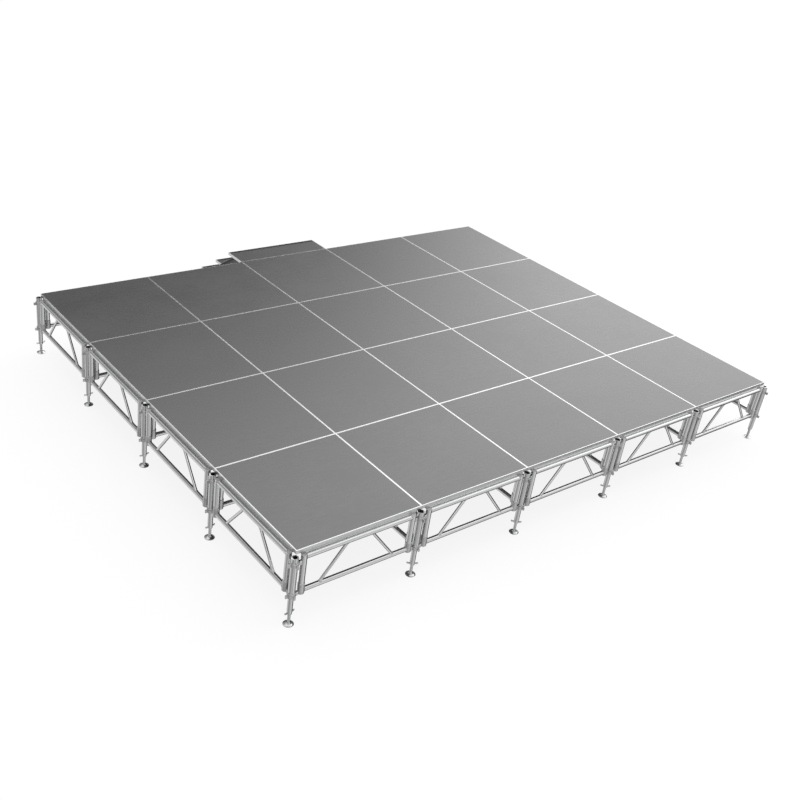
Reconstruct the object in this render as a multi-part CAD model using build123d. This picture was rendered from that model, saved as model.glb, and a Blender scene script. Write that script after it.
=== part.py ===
from build123d import *
import os

os.makedirs("parts", exist_ok=True)

# Modular stage riser: 5 x 4 square deck panels on screw-jack legs, joined by
# ladder-like truss frames, with a lift-off stair at the back.
# Millimetres. X runs along the five-bay side, Y from front to back, Z up.
# The floor is Z = 0. The origin is the centre of the footprint, on the floor.

# ---- Layout ----
BAYS_X = 5
BAYS_Y = 4
LEG_PITCH = 1226.0          # between leg axes, both ways
PANEL_PITCH = 1220.0        # a 4 ft panel
PANEL_GAP = 1.0             # between neighbouring panels
DECK_TOP = 700.0
WELD_GAP = 0.2              # left between parts that the real stage welds or fits together

# ---- Deck panels ----
PANEL_DEPTH = 50.0
RAIL_WIDTH = 30.0
RAIL_WALL = 3.0
RAIL_LIP = 7.0              # aluminium seen from above, round each board
BOARD_THICKNESS = 18.0
GROOVE_DEPTH = 1.2          # long grooves in the rail's outer face
GROOVE_HEIGHT = 2.4
GROOVE_LEVELS = (12.0, 24.0, 36.0)     # below the deck top
NOTCH = 52.0                # panel corners are cut away to clear the post heads
NOTCH_CEILING = 36.0        # below the deck top
CROSS_RAIL_WIDTH = 40.0
CROSS_RAIL_HEIGHT = 28.0
CROSS_RAIL_SPACING = 406.0
CORNER_PLATE_CHAMFER = 16.0

# ---- Legs ----
POST_RADIUS = 30.0
POST_TOP = 652.0
POST_BOTTOM = 282.0
SOCKET_RADIUS = 19.5        # open top of the post, takes a guard-rail spigot
SOCKET_DEPTH = 175.0
POST_BORE_RADIUS = 23.0     # below the socket, takes the inner leg
POST_GROOVES = 8
POST_GROOVE_RADIUS = 2.2
COLLAR_RADIUS = 35.0
UPPER_COLLAR = (572.0, 609.0)
LOWER_COLLAR = (273.0, 320.0)
COLLAR_CHAMFER = 2.5
UPPER_LUG_RAISE = 2.0       # from a collar's bottom to its lugs
LOWER_LUG_RAISE = 3.0
LUG_REACH = 58.0            # from the leg axis to a lug's tip
LOWER_LUG_REACH = 54.0
LUG_THICKNESS = 12.0
LUG_HEIGHT = 28.0
INNER_LEG_RADIUS = 22.5
INNER_LEG_WALL = 4.0
INNER_LEG_BOTTOM = 138.0
INNER_LEG_TOP_GAP = 2.0     # below the socket's floor
LOCK_SCREW_RADIUS = 6.0
LOCK_SCREW_LEVEL = 304.0
LOCK_HEAD_RADIUS = 9.0
LOCK_HEAD_LENGTH = 10.0
LOCK_SCREW_TURN = 45.0      # between two lugs

# ---- Screw jacks ----
NUT_HEIGHT = 34.0
NUT_RADIUS = 21.0
NUT_CHAMFER = 3.0
WING_REACH = 50.0
WING_THICKNESS = 10.0
WING_HEIGHT = 18.0
WING_ROOT = 17.0            # from the nut's axis, inside its body
WING_TIP_RADIUS = 7.0
WING_ANGLE = -41.0          # the wings' usual direction, from +X
WING_TURNS = (48.0, 0.0, -10.0, 8.0, 2.0)     # how the nuts were left, added to that
SPINDLE_RADIUS = 13.0
SPINDLE_TOP = 415.0
SPINDLE_CLEARANCE = 0.4
SPINDLE_CHAMFER = 2.0
FOOT_RADIUS = 45.0
FOOT_RIM = 5.0
FOOT_HEIGHT = 25.0
FOOT_BREAK = 1.5            # bevel of the foot's lower edge
FOOT_BOSS_RADIUS = 19.0
FOOT_BOSS_BASE = 16.5       # where the dome meets the boss
FOOT_DOME_POINT = (30.0, 13.5)
FOOT_SOCKET_FLOOR = 8.0

# ---- Truss frames ----
END_TUBE_OFFSET = 84.0      # from the leg axis to the end tube's axis
END_TUBE_RADIUS = 25.0
END_TUBE_BOTTOM = 283.0
CHORD_RADIUS = 21.0
LOW_CHORD_LEVEL = 308.0
DIAGONAL_RADIUS = 12.5
DIAGONAL_FOOT = 368.0       # from the bay's middle, where it meets the lower chord
DIAGONAL_HEAD = 112.0       # the same at the upper chord
TUBE_WALL = 2.5
COUPLER_RADIUS = 29.0
COUPLER_SPAN = (280.0, 380.0)
COUPLER_CHAMFER = 3.0
LEDGE_NEAR = 14.0           # inboard of an outer chord's axis, carries the deck's edge
LEDGE_FAR = 50.0
LEDGE_THICKNESS = 5.0

# ---- Stair ----
STEPS = 3
RISE = DECK_TOP / STEPS
GOING = 340.0
TREAD_DEPTH = 305.0
TREAD_THICKNESS = 30.0
TREAD_START = -7.0          # top tread's front edge, from the back leg line
TOP_TREAD_WIDTH = 1219.0
TREAD_RIM = 6.0
TREAD_BOARD = 12.0
TREAD_BEARER = 25.0
STRINGER_INNER = 580.0      # from the stair's middle to the web's inner face
STRINGER_OUTER = 609.0
STRINGER_WEB = 4.0
STRINGER_DROP = 70.0        # from a tread's top to the stringer's middle line, at the tread's middle
STRINGER_HALF_HEIGHT = 70.0
STRINGER_FLANGE = 5.0
STRINGER_START = 70.0       # clear of the back posts and their lugs
STAIR_FOOT_HEIGHT = 20.0
STAIR_FOOT_WIDTH = 28.0
STAIR_FOOT_OVERHANG = 6.0   # of a leg's foot, past the leg, front and back
STAIR_TOE = (60.0, 4.0)     # span of a stringer's foot, from the stair's end
STAIR_FOOT_CHAMFER = 2.0
STAIR_LEG_START = STRINGER_START + 2
STAIR_LEG_DEPTH = 32.0
STAIR_LEG_WALL = 3.0
BRACE_RADIUS = 14.0
LEG_BRACE_LEVELS = (140.0, 430.0)
STRINGER_BRACE = (560.0, 330.0)         # behind the back leg line, above the floor
HOOK_OFFSET = 330.0
HOOK_WIDTH = 40.0
HOOK_FRONT = -10.0          # from the back leg line
HOOK_BACK = 60.0
HOOK_TIP = 6.0              # the saddle's lower front corner
HOOK_DROP = 24.0            # the saddle reaches this far below the chord's axis
HOOK_CLEARANCE = 0.5

# ---- Worked out from the above ----
PANEL_SIZE = PANEL_PITCH - PANEL_GAP
PANEL_BOTTOM = DECK_TOP - PANEL_DEPTH
BOARD_BOTTOM = DECK_TOP - BOARD_THICKNESS
HIGH_CHORD_LEVEL = PANEL_BOTTOM - CHORD_RADIUS
END_TUBE_SPREAD = LEG_PITCH / 2 - END_TUBE_OFFSET
STAIR_SLOPE = RISE / GOING
SLOPE_INSET = (1 + STAIR_SLOPE**2) ** 0.5     # a sloping flange's height over its thickness
STAIR_REACH = TREAD_START + (STEPS - 1) * GOING + TREAD_DEPTH
FOOTPRINT_DEPTH = LUG_REACH + BAYS_Y * LEG_PITCH + STAIR_REACH
FRONT_LEG_Y = LUG_REACH - FOOTPRINT_DEPTH / 2
BACK_LEG_Y = FRONT_LEG_Y + BAYS_Y * LEG_PITCH
STAGE_CENTRE_Y = (FRONT_LEG_Y + BACK_LEG_Y) / 2
LEG_X = [(i - BAYS_X / 2) * LEG_PITCH for i in range(BAYS_X + 1)]
LEG_Y = [FRONT_LEG_Y + j * LEG_PITCH for j in range(BAYS_Y + 1)]
BAY_X = [(i - (BAYS_X - 1) / 2) * LEG_PITCH for i in range(BAYS_X)]
BAY_Y = [FRONT_LEG_Y + (j + 0.5) * LEG_PITCH for j in range(BAYS_Y)]
PANEL_X = [(i - (BAYS_X - 1) / 2) * PANEL_PITCH for i in range(BAYS_X)]
PANEL_Y = [STAGE_CENTRE_Y + (j - (BAYS_Y - 1) / 2) * PANEL_PITCH for j in range(BAYS_Y)]
LEG_PLACES = [(i, j) for j in range(BAYS_Y + 1) for i in range(BAYS_X + 1)]
SOCKET_FLOOR = POST_TOP - SOCKET_DEPTH


def save(name, solids):
    """Write one node as a group of separate solids."""
    export_step(Compound(list(solids)), f"parts/{name}.step")


def at(solid, x, y, z=0.0, turn=0.0):
    """A copy of a solid, turned about Z and then moved."""
    return solid.moved(Location((x, y, z), (0, 0, turn)))


def block(x_range, y_range, z_range):
    """A box between three pairs of limits."""
    low, high = zip(x_range, y_range, z_range)
    corner = Align.MIN
    size = [b - a for a, b in zip(low, high)]
    return Pos(*low) * Box(*size, align=(corner, corner, corner))


def upright(radius, bottom, top):
    """A vertical cylinder on the local origin."""
    base = (Align.CENTER, Align.CENTER, Align.MIN)
    return Pos(0, 0, bottom) * Cylinder(radius, top - bottom, align=base)


def rod(start, end, radius):
    """A cylinder between two points."""
    start, end = Vector(*start), Vector(*end)
    plane = Plane(origin=start, z_dir=(end - start).normalized())
    return extrude(plane * Circle(radius), amount=(end - start).length)


def tube(start, end, radius, wall):
    """A round tube between two points."""
    start, end = Vector(*start), Vector(*end)
    plane = Plane(origin=start, z_dir=(end - start).normalized())
    ring = Circle(radius) - Circle(radius - wall)
    return extrude(plane * ring, amount=(end - start).length)


def side_plate(outline, x_low, x_high):
    """An outline drawn in Y and Z, given thickness along X."""
    face = make_face(Polyline(*[(0, y, z) for y, z in outline], close=True))
    return Pos(x_low, 0, 0) * extrude(face, amount=x_high - x_low, dir=(1, 0, 0))


# ---------------------------------------------------------------- deck panels
def deck_rail():
    """One mitred edge rail along X, its outer face on Y = 0, the panel towards +Y."""
    outline = block((-PANEL_SIZE / 2, PANEL_SIZE / 2), (0, RAIL_WIDTH), (PANEL_BOTTOM, BOARD_BOTTOM))
    lip = block((-PANEL_SIZE / 2, PANEL_SIZE / 2), (0, RAIL_LIP), (BOARD_BOTTOM, DECK_TOP))
    chamber = block(
        (-PANEL_SIZE, PANEL_SIZE),
        (RAIL_WALL, RAIL_WIDTH - RAIL_WALL),
        (PANEL_BOTTOM + RAIL_WALL, BOARD_BOTTOM - RAIL_WALL),
    )
    rail = outline + lip - chamber
    for level in GROOVE_LEVELS:
        middle = DECK_TOP - level
        rail -= block(
            (-PANEL_SIZE, PANEL_SIZE),
            (-1, GROOVE_DEPTH),
            (middle - GROOVE_HEIGHT / 2, middle + GROOVE_HEIGHT / 2),
        )
    half = PANEL_SIZE / 2
    plan = Polyline(
        (-half, 0), (half, 0), (half - RAIL_WIDTH, RAIL_WIDTH), (RAIL_WIDTH - half, RAIL_WIDTH), close=True
    )
    rail &= Pos(0, 0, PANEL_BOTTOM) * extrude(make_face(plan), amount=PANEL_DEPTH)
    for side in (-1, 1):
        ends = sorted((side * (half - NOTCH), side * PANEL_SIZE))
        rail -= block(ends, (-1, RAIL_WIDTH + 1), (PANEL_BOTTOM - 1, DECK_TOP - NOTCH_CEILING))
        rail -= block(ends, (RAIL_WALL, RAIL_WIDTH + 1), (PANEL_BOTTOM - 1, BOARD_BOTTOM - RAIL_WALL))
    return rail


def corner_plate():
    """The cast plate that ties two rails together, over a post head."""
    near = RAIL_WALL + WELD_GAP
    far = NOTCH - WELD_GAP
    plate = block((near, far), (near, far), (DECK_TOP - NOTCH_CEILING, BOARD_BOTTOM - RAIL_WALL - WELD_GAP))
    inner_edge = plate.edges().filter_by(Axis.Z).sort_by(lambda edge: edge.center().X + edge.center().Y)[-1]
    return chamfer(inner_edge, CORNER_PLATE_CHAMFER)


def cross_rail():
    """A hollow bearer under the board, along Y."""
    reach = PANEL_SIZE / 2 - RAIL_WIDTH - WELD_GAP
    low = BOARD_BOTTOM - CROSS_RAIL_HEIGHT
    outer = block((-CROSS_RAIL_WIDTH / 2, CROSS_RAIL_WIDTH / 2), (-reach, reach), (low, BOARD_BOTTOM))
    inner_half = CROSS_RAIL_WIDTH / 2 - TUBE_WALL
    inner = block((-inner_half, inner_half), (-reach, reach), (low + TUBE_WALL, BOARD_BOTTOM - TUBE_WALL))
    return outer - inner


def deck():
    """The twenty panels, row by row from the front."""
    board_half = PANEL_SIZE / 2 - RAIL_LIP - WELD_GAP
    board = block((-board_half, board_half), (-board_half, board_half), (BOARD_BOTTOM, DECK_TOP))
    rail = Pos(0, -PANEL_SIZE / 2, 0) * deck_rail()
    rails = [at(rail, 0, 0, turn=90 * side) for side in range(4)]
    plate = Pos(-PANEL_SIZE / 2, -PANEL_SIZE / 2, 0) * corner_plate()
    plates = [at(plate, 0, 0, turn=90 * side) for side in range(4)]
    bearer = cross_rail()
    bearers = [at(bearer, side * CROSS_RAIL_SPACING / 2, 0) for side in (-1, 1)]
    for row, y in enumerate(PANEL_Y, start=1):
        save(f"deck_boards_row_{row}", [at(board, x, y) for x in PANEL_X])
        save(f"deck_edge_rails_row_{row}", [at(one, x, y) for x in PANEL_X for one in rails])
    save("deck_corner_plates", [at(one, x, y) for y in PANEL_Y for x in PANEL_X for one in plates])
    save("deck_cross_rails", [at(one, x, y) for y in PANEL_Y for x in PANEL_X for one in bearers])


# ----------------------------------------------------------------------- legs
def lock_screw_hole():
    """The radial hole for a leg's lock screw, between two lugs."""
    level = LOCK_SCREW_LEVEL
    hole = rod((0, 0, level), (-COLLAR_RADIUS * 2, 0, level), LOCK_SCREW_RADIUS + WELD_GAP)
    return at(hole, 0, 0, turn=LOCK_SCREW_TURN)


def leg_post():
    """The grooved outer tube, with a socket in its open top."""
    section = Circle(POST_RADIUS)
    for place in PolarLocations(POST_RADIUS, POST_GROOVES, start_angle=180 / POST_GROOVES):
        section -= place * Circle(POST_GROOVE_RADIUS)
    post = Pos(0, 0, POST_BOTTOM) * extrude(section, amount=POST_TOP - POST_BOTTOM)
    post -= upright(SOCKET_RADIUS, SOCKET_FLOOR, POST_TOP)
    post -= upright(POST_BORE_RADIUS, POST_BOTTOM, SOCKET_FLOOR)
    return post - lock_screw_hole()


def lug_collar(span, lug_low, reach):
    """A ring with four lugs, which the truss frames hook on to."""
    ring = upright(COLLAR_RADIUS, *span)
    outer_edges = ring.edges().filter_by(GeomType.CIRCLE)
    collar = chamfer(outer_edges, COLLAR_CHAMFER)
    lug = block((0, reach), (-LUG_THICKNESS / 2, LUG_THICKNESS / 2), (lug_low, lug_low + LUG_HEIGHT))
    for quarter in range(4):
        collar += at(lug, 0, 0, turn=90 * quarter)
    return collar - upright(POST_RADIUS + WELD_GAP, span[0] - 1, span[1] + 1)


def wing_nut():
    """The jack's nut, under the inner leg, with a wing each side."""
    bottom = INNER_LEG_BOTTOM - NUT_HEIGHT
    nut = upright(NUT_RADIUS, bottom, INNER_LEG_BOTTOM)
    nut = chamfer(nut.edges().filter_by(GeomType.CIRCLE), NUT_CHAMFER)
    wing_level = bottom + NUT_HEIGHT / 2
    wing = block(
        (WING_ROOT, WING_REACH),
        (-WING_THICKNESS / 2, WING_THICKNESS / 2),
        (wing_level - WING_HEIGHT / 2, wing_level + WING_HEIGHT / 2),
    )
    wing = fillet(wing.edges().filter_by(Axis.Y).group_by(Axis.X)[-1], WING_TIP_RADIUS)
    nut += wing
    nut += at(wing, 0, 0, turn=180)
    return nut - upright(SPINDLE_RADIUS + SPINDLE_CLEARANCE, bottom - 1, INNER_LEG_BOTTOM + 1)


def lock_screw():
    """The headed screw that clamps the inner leg in its post."""
    head_start = COLLAR_RADIUS + WELD_GAP
    level = LOCK_SCREW_LEVEL
    shank = rod((-INNER_LEG_RADIUS - WELD_GAP, 0, level), (-head_start - 1, 0, level), LOCK_SCREW_RADIUS)
    head = rod((-head_start, 0, level), (-head_start - LOCK_HEAD_LENGTH, 0, level), LOCK_HEAD_RADIUS)
    return at(shank + head, 0, 0, turn=LOCK_SCREW_TURN)


def foot_plate():
    """The domed round foot, with a socket for the spindle's end."""
    dome_start = (FOOT_RADIUS - FOOT_RIM, FOOT_RIM + 2)
    boss_base = (FOOT_BOSS_RADIUS, FOOT_BOSS_BASE)
    profile = make_face([
        Polyline(
            (0, 0), (FOOT_RADIUS - FOOT_BREAK, 0), (FOOT_RADIUS, FOOT_BREAK), (FOOT_RADIUS, FOOT_RIM),
            dome_start,
        ),
        ThreePointArc(dome_start, FOOT_DOME_POINT, boss_base),
        Polyline(
            boss_base, (FOOT_BOSS_RADIUS - FOOT_BREAK, FOOT_HEIGHT), (SPINDLE_RADIUS, FOOT_HEIGHT),
            (SPINDLE_RADIUS, FOOT_SOCKET_FLOOR), (0, FOOT_SOCKET_FLOOR), (0, 0),
        ),
    ])
    return revolve(Plane.XZ * profile, Axis.Z)


def legs():
    """Posts, collars, inner legs, nuts and locks, and one screw jack a leg."""
    post = leg_post()
    upper = lug_collar(UPPER_COLLAR, UPPER_COLLAR[0] + UPPER_LUG_RAISE, LUG_REACH)
    lower = lug_collar(LOWER_COLLAR, LOWER_COLLAR[0] + LOWER_LUG_RAISE, LOWER_LUG_REACH) - lock_screw_hole()
    inner_top = SOCKET_FLOOR - INNER_LEG_TOP_GAP
    inner = upright(INNER_LEG_RADIUS, INNER_LEG_BOTTOM, inner_top)
    inner -= upright(INNER_LEG_RADIUS - INNER_LEG_WALL, INNER_LEG_BOTTOM, inner_top)
    nut = wing_nut()
    screw = lock_screw()
    spots = [(LEG_X[i], LEG_Y[j]) for i, j in LEG_PLACES]
    save("leg_posts", [at(post, x, y) for x, y in spots])
    save("upper_lug_collars", [at(upper, x, y) for x, y in spots])
    save("lower_lug_collars", [at(lower, x, y) for x, y in spots])
    save("inner_legs", [at(inner, x, y) for x, y in spots])
    save("leg_lock_screws", [at(screw, x, y) for x, y in spots])
    nuts = []
    for i, j in LEG_PLACES:
        turn = WING_ANGLE + WING_TURNS[(3 * i + 5 * j) % len(WING_TURNS)]
        nuts.append(at(nut, LEG_X[i], LEG_Y[j], turn=turn))
    save("jack_wing_nuts", nuts)
    spindle = upright(SPINDLE_RADIUS, FOOT_SOCKET_FLOOR, SPINDLE_TOP)
    spindle = chamfer(spindle.edges().filter_by(GeomType.CIRCLE).sort_by(Axis.Z)[-1], SPINDLE_CHAMFER)
    foot = foot_plate()
    for i, j in LEG_PLACES:
        x, y = LEG_X[i], LEG_Y[j]
        save(f"screw_jack_{j + 1}_{i + 1}", [at(spindle, x, y), at(foot, x, y)])


# --------------------------------------------------------------- truss frames
def truss_frame():
    """One ladder frame along X, centred on its bay: end tubes, chords, diagonals."""
    end_cut = END_TUBE_RADIUS + WELD_GAP
    sleeve_cut = COUPLER_RADIUS + WELD_GAP
    pieces = []
    for side in (-1, 1):
        x = side * END_TUBE_SPREAD
        pieces.append(tube((x, 0, END_TUBE_BOTTOM), (x, 0, PANEL_BOTTOM), END_TUBE_RADIUS, TUBE_WALL))
    for level, cut in ((HIGH_CHORD_LEVEL, end_cut), (LOW_CHORD_LEVEL, sleeve_cut)):
        chord = tube((-END_TUBE_SPREAD, 0, level), (END_TUBE_SPREAD, 0, level), CHORD_RADIUS, TUBE_WALL)
        for side in (-1, 1):
            chord -= Pos(side * END_TUBE_SPREAD, 0, 0) * upright(cut, 0, DECK_TOP)
        pieces.append(chord)
    for side in (-1, 1):
        foot = (side * DIAGONAL_FOOT, 0, LOW_CHORD_LEVEL)
        head = (side * DIAGONAL_HEAD, 0, HIGH_CHORD_LEVEL)
        diagonal = tube(foot, head, DIAGONAL_RADIUS, TUBE_WALL)
        for level in (LOW_CHORD_LEVEL, HIGH_CHORD_LEVEL):
            diagonal -= rod(
                (-END_TUBE_SPREAD, 0, level), (END_TUBE_SPREAD, 0, level), CHORD_RADIUS + WELD_GAP
            )
        pieces.append(diagonal)
    return [piece.solids()[0] for piece in pieces]


def coupler():
    """The sleeve round an end tube's foot."""
    sleeve = upright(COUPLER_RADIUS, *COUPLER_SPAN)
    sleeve = chamfer(sleeve.edges().filter_by(GeomType.CIRCLE), COUPLER_CHAMFER)
    return sleeve - upright(END_TUBE_RADIUS + WELD_GAP, COUPLER_SPAN[0] - 1, COUPLER_SPAN[1] + 1)


def deck_ledge():
    """The flat bar inboard of an outer chord, under the deck's edge."""
    reach = END_TUBE_SPREAD - END_TUBE_RADIUS - 1
    return block((-reach, reach), (LEDGE_NEAR, LEDGE_FAR), (PANEL_BOTTOM - LEDGE_THICKNESS, PANEL_BOTTOM))


def trusses():
    """The 49 frames: one between each pair of neighbouring legs."""
    frame = truss_frame()
    sleeve = coupler()
    along_x = {j: [(x, LEG_Y[j], 0) for x in BAY_X] for j in range(BAYS_Y + 1)}
    along_y = {i: [(LEG_X[i], y, 90) for y in BAY_Y] for i in range(BAYS_X + 1)}
    inner = [place for j in range(1, BAYS_Y) for place in along_x[j]]
    inner += [place for i in range(1, BAYS_X) for place in along_y[i]]
    groups = {
        "front_truss_frames": along_x[0],
        "back_truss_frames": along_x[BAYS_Y],
        "left_truss_frames": along_y[0],
        "right_truss_frames": along_y[BAYS_X],
        "inner_truss_frames": inner,
    }
    for name, places in groups.items():
        save(name, [at(one, x, y, turn=turn) for x, y, turn in places for one in frame])
    sleeves = [Pos(side * END_TUBE_SPREAD, 0, 0) * sleeve for side in (-1, 1)]
    everywhere = [place for places in groups.values() for place in places]
    save("truss_foot_sleeves", [at(one, x, y, turn=turn) for x, y, turn in everywhere for one in sleeves])
    ledge = deck_ledge()
    ledges = [at(ledge, x, y) for x, y, _ in along_x[0]]
    ledges += [at(ledge, x, y, turn=180) for x, y, _ in along_x[BAYS_Y]]
    ledges += [at(ledge, x, y, turn=-90) for x, y, _ in along_y[0]]
    ledges += [at(ledge, x, y, turn=90) for x, y, _ in along_y[BAYS_X]]
    save("deck_edge_ledges", ledges)


# ---------------------------------------------------------------------- stair
def stringer_middle(y):
    """Height of the stringer's middle line at a distance behind the back legs."""
    first_tread_middle = TREAD_START + TREAD_DEPTH / 2
    return DECK_TOP - STRINGER_DROP - STAIR_SLOPE * (y - first_tread_middle)


def stringer_outline(inset):
    """The stringer's side outline: level under the top tread, then down to its foot."""
    half = STRINGER_HALF_HEIGHT - inset * SLOPE_INSET
    start = STRINGER_START + inset
    end = STAIR_REACH - inset
    top = DECK_TOP - TREAD_THICKNESS - inset
    floor = STAIR_FOOT_HEIGHT + inset
    bend = start + (stringer_middle(start) + half - top) / STAIR_SLOPE
    toe = start + (stringer_middle(start) - half - floor) / STAIR_SLOPE
    return [
        (start, stringer_middle(start) - half),
        (start, top),
        (bend, top),
        (end, stringer_middle(end) + half),
        (end, floor),
        (toe, floor),
    ]


def stringer():
    """A channel, open outwards, for the +X side."""
    plate = side_plate(stringer_outline(0), STRINGER_INNER, STRINGER_OUTER)
    return plate - side_plate(
        stringer_outline(STRINGER_FLANGE), STRINGER_INNER + STRINGER_WEB, STRINGER_OUTER + 1
    )


def stair_leg():
    """The upright under the stringer's upper end, for the +X side."""
    near = STAIR_LEG_START
    far = near + STAIR_LEG_DEPTH

    def outline(inset):
        low_edge = [stringer_middle(y) - STRINGER_HALF_HEIGHT - WELD_GAP * 2 for y in (near, far)]
        return [
            (near + inset, STAIR_FOOT_HEIGHT),
            (near + inset, low_edge[0] - inset * 2),
            (far - inset, low_edge[1] - inset),
            (far - inset, STAIR_FOOT_HEIGHT),
        ]

    solid = side_plate(outline(0), STRINGER_INNER + STRINGER_WEB, STRINGER_OUTER)
    return solid - side_plate(
        outline(STAIR_LEG_WALL),
        STRINGER_INNER + STRINGER_WEB + STAIR_LEG_WALL,
        STRINGER_OUTER - STAIR_LEG_WALL,
    )


def tread_frame(half_width):
    """A tread's aluminium frame, its front edge on Y = 0 and its top on Z = 0."""
    frame = block((-half_width, half_width), (0, TREAD_DEPTH), (-TREAD_THICKNESS, 0))
    frame -= block(
        (TREAD_RIM - half_width, half_width - TREAD_RIM),
        (TREAD_RIM, TREAD_DEPTH - TREAD_RIM),
        (-TREAD_BOARD, 1),
    )
    frame -= block(
        (TREAD_BEARER - half_width, half_width - TREAD_BEARER),
        (TREAD_BEARER, TREAD_DEPTH - TREAD_BEARER),
        (-TREAD_THICKNESS - 1, 0),
    )
    return frame


def tread_board(half_width):
    """The board let into a tread's frame."""
    edge = TREAD_RIM + WELD_GAP
    return block((edge - half_width, half_width - edge), (edge, TREAD_DEPTH - edge), (-TREAD_BOARD, 0))


def hook_block():
    """A saddle that rests over the back truss's upper chord from above."""
    outline = [
        (HOOK_FRONT, DECK_TOP - TREAD_THICKNESS),
        (HOOK_BACK, DECK_TOP - TREAD_THICKNESS),
        (HOOK_BACK, HIGH_CHORD_LEVEL - HOOK_DROP),
        (HOOK_TIP, HIGH_CHORD_LEVEL - HOOK_DROP),
        (HOOK_FRONT, HIGH_CHORD_LEVEL),
    ]
    hook = side_plate(outline, -HOOK_WIDTH / 2, HOOK_WIDTH / 2)
    hook -= rod(
        (-HOOK_WIDTH, 0, HIGH_CHORD_LEVEL), (HOOK_WIDTH, 0, HIGH_CHORD_LEVEL), CHORD_RADIUS + HOOK_CLEARANCE
    )
    clear_radius = CHORD_RADIUS + HOOK_CLEARANCE
    below_chord = block((-HOOK_WIDTH, HOOK_WIDTH), (-clear_radius, clear_radius), (0, HIGH_CHORD_LEVEL))
    return (hook - below_chord).solids().sort_by(SortBy.VOLUME)[-1]


def stair():
    """The stair, a body of its own that lifts off."""
    y0 = BACK_LEG_Y
    right = stringer()
    left = right.mirror(Plane.YZ)
    save("stair_stringers", [at(left, 0, y0), at(right, 0, y0)])
    right_leg = stair_leg()
    left_leg = right_leg.mirror(Plane.YZ)
    save("stair_legs", [at(left_leg, 0, y0), at(right_leg, 0, y0)])
    frames, boards = [], []
    for step in range(STEPS):
        half_width = TOP_TREAD_WIDTH / 2 if step == 0 else STRINGER_INNER - WELD_GAP
        y = y0 + TREAD_START + step * GOING
        z = DECK_TOP - step * RISE
        frames.append(at(tread_frame(half_width), 0, y, z))
        boards.append(at(tread_board(half_width), 0, y, z))
    save("stair_tread_frames", frames)
    save("stair_tread_boards", boards)
    leg_y = STAIR_LEG_START + STAIR_LEG_DEPTH / 2
    brace_spots = [(leg_y, level, STRINGER_INNER + STRINGER_WEB - WELD_GAP) for level in LEG_BRACE_LEVELS]
    brace_spots.append((*STRINGER_BRACE, STRINGER_INNER - WELD_GAP))
    braces = [
        tube((-reach, y0 + y, z), (reach, y0 + y, z), BRACE_RADIUS, TUBE_WALL)
        for y, z, reach in brace_spots
    ]
    save("stair_cross_tubes", braces)
    leg_foot_half = STAIR_LEG_DEPTH / 2 + STAIR_FOOT_OVERHANG
    foot_spans = [
        (leg_y - leg_foot_half, leg_y + leg_foot_half),
        (STAIR_REACH - STAIR_TOE[0], STAIR_REACH - STAIR_TOE[1]),
    ]
    feet = []
    for side in (-1, 1):
        for span in foot_spans:
            middle = side * (STRINGER_INNER + STRINGER_OUTER) / 2
            across = (middle - STAIR_FOOT_WIDTH / 2, middle + STAIR_FOOT_WIDTH / 2)
            foot = block(across, (y0 + span[0], y0 + span[1]), (0, STAIR_FOOT_HEIGHT))
            feet.append(chamfer(foot.edges().group_by(Axis.Z)[0], STAIR_FOOT_CHAMFER))
    save("stair_feet", feet)
    hook = hook_block()
    save("stair_hook_blocks", [at(hook, side * HOOK_OFFSET, y0) for side in (-1, 1)])


deck()
legs()
trusses()
stair()
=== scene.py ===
import math

import bmesh
import bpy
import numpy as np
from mathutils import Matrix, Vector


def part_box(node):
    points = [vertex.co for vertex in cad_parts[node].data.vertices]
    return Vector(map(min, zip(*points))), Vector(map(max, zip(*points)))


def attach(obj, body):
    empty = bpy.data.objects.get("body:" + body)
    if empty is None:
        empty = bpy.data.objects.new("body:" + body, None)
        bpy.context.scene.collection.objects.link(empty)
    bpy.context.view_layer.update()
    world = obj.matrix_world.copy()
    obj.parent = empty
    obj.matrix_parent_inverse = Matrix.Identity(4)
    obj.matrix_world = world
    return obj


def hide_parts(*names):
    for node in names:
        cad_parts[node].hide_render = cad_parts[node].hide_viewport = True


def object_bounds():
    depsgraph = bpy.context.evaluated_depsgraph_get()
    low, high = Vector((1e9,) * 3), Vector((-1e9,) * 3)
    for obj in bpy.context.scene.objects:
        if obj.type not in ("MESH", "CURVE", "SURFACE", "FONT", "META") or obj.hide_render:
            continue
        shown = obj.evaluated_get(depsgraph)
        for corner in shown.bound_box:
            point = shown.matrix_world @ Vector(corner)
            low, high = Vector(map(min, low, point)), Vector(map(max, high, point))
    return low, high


# Looks for the modular stage riser: materials, thread, welds, hooks, rivets and nosings
# round the fixed CAD frame. Metres, in the CAD frame.

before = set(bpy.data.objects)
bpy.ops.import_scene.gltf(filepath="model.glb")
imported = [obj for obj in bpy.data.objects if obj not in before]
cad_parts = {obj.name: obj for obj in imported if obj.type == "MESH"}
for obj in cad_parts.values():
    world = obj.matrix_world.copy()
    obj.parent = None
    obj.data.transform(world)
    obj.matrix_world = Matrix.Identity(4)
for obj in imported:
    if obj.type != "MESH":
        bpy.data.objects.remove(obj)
cad_low, cad_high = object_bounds()

# ---- Camera ----
VIEW_AZIMUTH = math.radians(-41.88)
VIEW_ELEVATION = math.radians(29.35)
VIEW_ROLL = math.radians(8.39)
VIEW_DISTANCE = 9.73
AIM_OFFSET = (-1.048, -1.397)       # from the footprint's centre, on the deck
LENS = 46.07
SENSOR = 36.0
VIEW_SHIFT_X = 0.0185

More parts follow.
